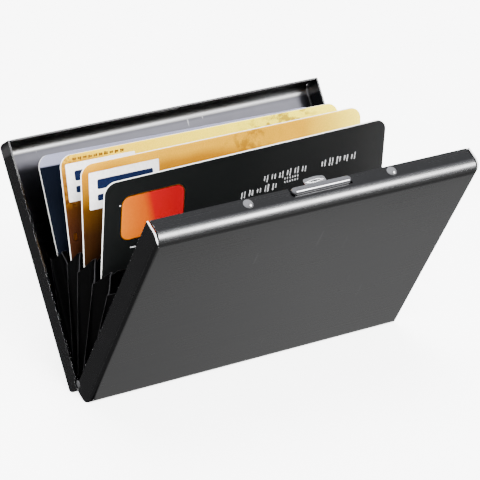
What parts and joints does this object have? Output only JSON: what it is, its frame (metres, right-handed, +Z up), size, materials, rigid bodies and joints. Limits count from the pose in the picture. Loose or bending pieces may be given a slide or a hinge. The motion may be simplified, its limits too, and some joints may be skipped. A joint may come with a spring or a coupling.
{
  "type": "hinged card case",
  "caption": "Slim V-hinged metal card case with a sprung press-bar latch, a film accordion of card pockets and plain cards standing in the rear ones.",
  "frame": {"origin": "middle of the footprint, on the surface that the open case stands on", "axes": "+X along the hinge, +Z up midway between the shells, front shell with the latch towards -Y"},
  "size_m": [0.097, 0.0762, 0.0609],
  "materials": {
    "black_steel": "black plated stainless steel, fine brushing along the case",
    "plain_steel": "bare rolled steel strip",
    "chrome": "polished chrome plating",
    "black_film": "semi-matt black plastic film",
    "tape": "double-sided adhesive sheet",
    "card_silver": "laminated plastic, silver grey band over dark blue",
    "card_gold": "laminated plastic, metallic gold print",
    "card_black": "laminated plastic, satin black"
  },
  "bodies": {
    "back_case": {"back_shell": "black_steel", "back_hinge_leaf": "plain_steel", "hinge_pin": "chrome", "back_tape": "tape", "back_liner": "black_film"},
    "front_case": {"front_shell": "black_steel", "front_hinge_leaf": "plain_steel", "latch_spring": "plain_steel", "latch_rivets": "chrome", "front_tape": "tape", "front_liner": "black_film"},
    "latch": {"press_bar": "chrome", "catch_hook": "chrome"},
    "pocket_1": {"pocket_floor_1": "black_film", "gusset_left_1": "black_film", "gusset_right_1": "black_film"},
    "leaf_1": {"divider_1": "black_film"},
    "pocket_2": {"pocket_floor_2": "black_film", "gusset_left_2": "black_film", "gusset_right_2": "black_film"},
    "leaf_2": {"divider_2": "black_film"},
    "pocket_3": {"pocket_floor_3": "black_film", "gusset_left_3": "black_film", "gusset_right_3": "black_film"},
    "leaf_3": {"divider_3": "black_film"},
    "pocket_4": {"pocket_floor_4": "black_film", "gusset_left_4": "black_film", "gusset_right_4": "black_film"},
    "leaf_4": {"divider_4": "black_film"},
    "pocket_5": {"pocket_floor_5": "black_film", "gusset_left_5": "black_film", "gusset_right_5": "black_film"},
    "leaf_5": {"divider_5": "black_film"},
    "pocket_6": {"pocket_floor_6": "black_film", "gusset_left_6": "black_film", "gusset_right_6": "black_film"},
    "card_silver": {"card_silver": "card_silver"},
    "card_gold_rear": {"card_gold_rear": "card_gold"},
    "card_gold_front": {"card_gold_front": "card_gold"},
    "card_black": {"card_black": "card_black"}
  },
  "joints": [
    {"name": "cover_hinge", "type": "hinge", "parent": "back_case", "child": "front_case", "pos_m": [0, 0, 0.00359], "axis": [1, 0, 0], "range_deg": [-62.4, 9.6]},
    {"name": "pocket_1_fan", "type": "hinge", "parent": "back_case", "child": "pocket_1", "pos_m": [0, 0, 0.00359], "axis": [1, 0, 0], "range_deg": [-6.45, 1], "deforming": ["gusset_left_1", "gusset_right_1"]},
    {"name": "leaf_1_fan", "type": "hinge", "parent": "pocket_1", "child": "leaf_1", "pos_m": [0, 0, 0.00359], "axis": [1, 0, 0], "range_deg": [-6.45, 1]},
    {"name": "pocket_2_fan", "type": "hinge", "parent": "leaf_1", "child": "pocket_2", "pos_m": [0, 0, 0.00359], "axis": [1, 0, 0], "range_deg": [-5.95, 0.92], "deforming": ["gusset_left_2", "gusset_right_2"]},
    {"name": "leaf_2_fan", "type": "hinge", "parent": "pocket_2", "child": "leaf_2", "pos_m": [0, 0, 0.00359], "axis": [1, 0, 0], "range_deg": [-5.95, 0.92]},
    {"name": "pocket_3_fan", "type": "hinge", "parent": "leaf_2", "child": "pocket_3", "pos_m": [0, 0, 0.00359], "axis": [1, 0, 0], "range_deg": [-3.97, 0.62], "deforming": ["gusset_left_3", "gusset_right_3"]},
    {"name": "leaf_3_fan", "type": "hinge", "parent": "pocket_3", "child": "leaf_3", "pos_m": [0, 0, 0.00359], "axis": [1, 0, 0], "range_deg": [-3.97, 0.62]},
    {"name": "pocket_4_fan", "type": "hinge", "parent": "leaf_3", "child": "pocket_4", "pos_m": [0, 0, 0.00359], "axis": [1, 0, 0], "range_deg": [-4.96, 0.77], "deforming": ["gusset_left_4", "gusset_right_4"]},
    {"name": "leaf_4_fan", "type": "hinge", "parent": "pocket_4", "child": "leaf_4", "pos_m": [0, 0, 0.00359], "axis": [1, 0, 0], "range_deg": [-4.96, 0.77]},
    {"name": "pocket_5_fan", "type": "hinge", "parent": "leaf_4", "child": "pocket_5", "pos_m": [0, 0, 0.00359], "axis": [1, 0, 0], "range_deg": [-4.96, 0.77], "deforming": ["gusset_left_5", "gusset_right_5"]},
    {"name": "leaf_5_fan", "type": "hinge", "parent": "pocket_5", "child": "leaf_5", "pos_m": [0, 0, 0.00359], "axis": [1, 0, 0], "range_deg": [-4.96, 0.77]},
    {"name": "pocket_6_fan", "type": "hinge", "parent": "leaf_5", "child": "pocket_6", "pos_m": [0, 0, 0.00359], "axis": [1, 0, 0], "range_deg": [-4.96, 0.77], "deforming": ["gusset_left_6", "gusset_right_6"]},
    {"name": "card_silver_slide", "type": "slide", "parent": "pocket_1", "child": "card_silver", "axis": [0, 0.4188, 0.9081], "range_m": [-0.0012, 0.048]},
    {"name": "card_gold_rear_slide", "type": "slide", "parent": "pocket_2", "child": "card_gold_rear", "axis": [0, 0.2144, 0.9767], "range_m": [-0.001, 0.048]},
    {"name": "card_gold_front_slide", "type": "slide", "parent": "pocket_3", "child": "card_gold_front", "axis": [0, 0.0432, 0.9991], "range_m": [-0.0014, 0.048]},
    {"name": "card_black_slide", "type": "slide", "parent": "pocket_4", "child": "card_black", "axis": [0, -0.1121, 0.9937], "range_m": [-0.0002, 0.048]},
    {"name": "latch_press", "type": "slide", "parent": "front_case", "child": "latch", "axis": [0, 0.518, -0.8554], "range_m": [0, 0.001], "stiffness_N_per_m": 800, "deforming": ["latch_spring"]}
  ],
  "couplings": [
    {"joint": "pocket_1_fan", "follows": "cover_hinge", "ratio": 0.10318},
    {"joint": "leaf_1_fan", "follows": "cover_hinge", "ratio": 0.10318},
    {"joint": "pocket_2_fan", "follows": "cover_hinge", "ratio": 0.095238},
    {"joint": "leaf_2_fan", "follows": "cover_hinge", "ratio": 0.095238},
    {"joint": "pocket_3_fan", "follows": "cover_hinge", "ratio": 0.063492},
    {"joint": "leaf_3_fan", "follows": "cover_hinge", "ratio": 0.063492},
    {"joint": "pocket_4_fan", "follows": "cover_hinge", "ratio": 0.079365},
    {"joint": "leaf_4_fan", "follows": "cover_hinge", "ratio": 0.079365},
    {"joint": "pocket_5_fan", "follows": "cover_hinge", "ratio": 0.079365},
    {"joint": "leaf_5_fan", "follows": "cover_hinge", "ratio": 0.079365},
    {"joint": "pocket_6_fan", "follows": "cover_hinge", "ratio": 0.079365}
  ]
}
